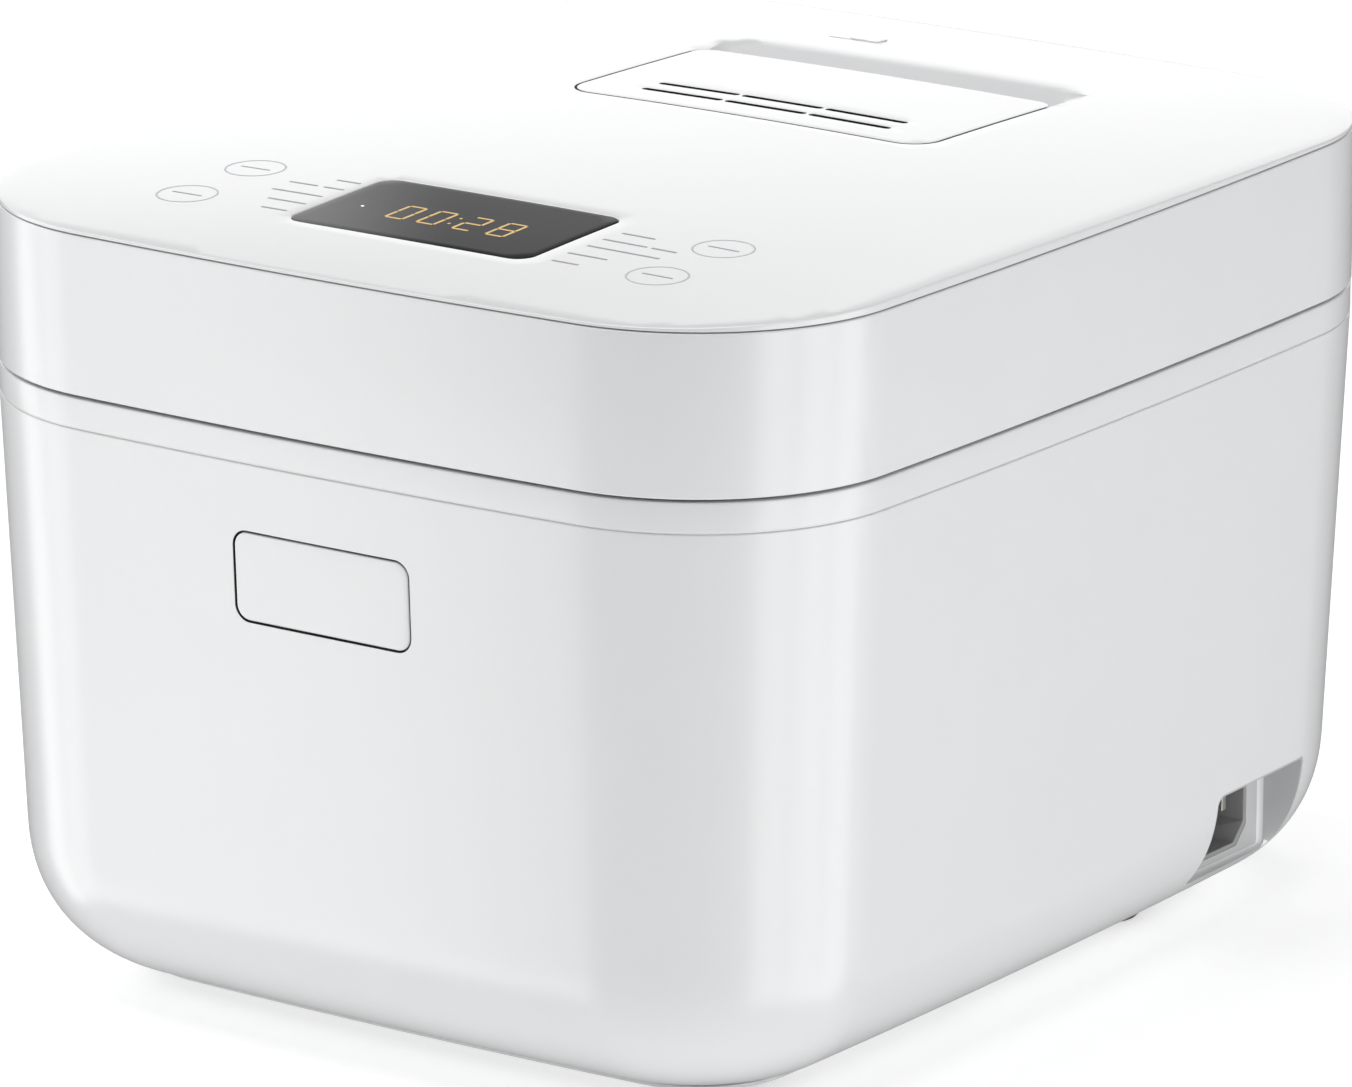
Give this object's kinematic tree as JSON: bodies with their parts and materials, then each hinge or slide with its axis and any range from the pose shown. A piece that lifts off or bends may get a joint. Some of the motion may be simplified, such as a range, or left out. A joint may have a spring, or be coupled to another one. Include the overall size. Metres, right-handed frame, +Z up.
{
  "type": "rice cooker",
  "caption": "Rounded box-shaped electric rice cooker with a hinged lid, front open button, lift-out steam vent cap, clock display, inner pot and heating plate.",
  "frame": {"origin": "on the surface the cooker stands on, under the middle of the body", "axes": "+Z up, front with the open button faces -Y, +X to the right when facing the front"},
  "size_m": [0.27, 0.324, 0.2185],
  "materials": {
    "white_gloss": "glossy white moulded plastic",
    "grey_plastic": "light grey moulded plastic",
    "rubber": "matte",
    "black_plastic": "fine matte",
    "brass": "nickel-plated brass pins",
    "silicone": "translucent silicone",
    "steel": "zinc-plated steel",
    "spring_steel": "drawn wire",
    "aluminium": "satin",
    "nonstick": "dark non-stick coating with a fine speckle",
    "element": "oxidised sheath",
    "ceramic": "unglazed ceramic",
    "board": "solder mask",
    "components": "moulded cases",
    "red_wire": "insulated wire",
    "dark_glass": "black glass",
    "led": "display module"
  },
  "bodies": {
    "cooker": {"body_shell": "white_gloss", "deck": "white_gloss", "base_cover": "grey_plastic", "feet": "rubber", "base_screws": "steel", "deck_screws": "steel", "inlet_panel": "grey_plastic", "power_inlet": "black_plastic", "inlet_pins": "brass", "power_leads": "red_wire", "inner_pot": "nonstick", "pot_shield": "aluminium", "shield_brackets": "steel", "heating_plate": "aluminium", "heating_element": "element", "plate_legs": "ceramic", "plate_screws": "steel", "sensor_housing": "grey_plastic", "sensor_spring": "spring_steel", "thermal_fuse": "ceramic", "power_board": "board", "power_parts": "components", "board_brackets": "grey_plastic", "button_frame": "grey_plastic", "button_spring": "spring_steel", "latch_bracket": "grey_plastic", "latch_pin": "steel", "latch_spring": "spring_steel", "hinge_bracket": "grey_plastic", "hinge_pin": "steel", "hinge_spring": "spring_steel", "hinge_cover": "white_gloss"},
    "lid": {"lid_skirt": "white_gloss", "lid_top": "white_gloss", "lid_liner": "grey_plastic", "lid_screws": "steel", "lid_knuckles": "grey_plastic", "lid_keeper": "steel", "inner_lid": "aluminium", "inner_lid_seal": "silicone", "inner_lid_knob": "black_plastic", "display_window": "dark_glass", "led_display": "led", "control_board": "board", "touch_springs": "spring_steel", "vent_well": "grey_plastic", "vent_seal": "silicone", "lid_sensor": "aluminium"},
    "vent": {"vent_cap": "white_gloss"},
    "button": {"open_button": "white_gloss"},
    "latch": {"latch_lever": "steel"},
    "sensor": {"sensor_cap": "aluminium"}
  },
  "joints": [
    {"name": "lid_hinge", "type": "hinge", "parent": "cooker", "child": "lid", "pos_m": [0, 0.156, 0.179], "axis": [-1, 0, 0], "range_deg": [0, 90]},
    {"name": "open_button_press", "type": "slide", "parent": "cooker", "child": "button", "axis": [0, 1, 0], "range_m": [0, 0.003], "stiffness_N_per_m": 1500, "springref_m": -0.001, "deforming": ["button_spring"]},
    {"name": "latch_release", "type": "hinge", "parent": "cooker", "child": "latch", "pos_m": [0, -0.1475, 0.151], "axis": [1, 0, 0], "range_deg": [0, 9]},
    {"name": "vent_cap_lift", "type": "slide", "parent": "lid", "child": "vent", "axis": [0, 0, 1], "range_m": [0, 0.035]},
    {"name": "sensor_plunge", "type": "slide", "parent": "cooker", "child": "sensor", "axis": [0, 0, -1], "range_m": [0, 0.0025], "stiffness_N_per_m": 600, "springref_m": -0.004, "deforming": ["sensor_spring"]}
  ],
  "couplings": [
    {"joint": "latch_release", "follows": "open_button_press", "rad_per_m": 51.02}
  ]
}
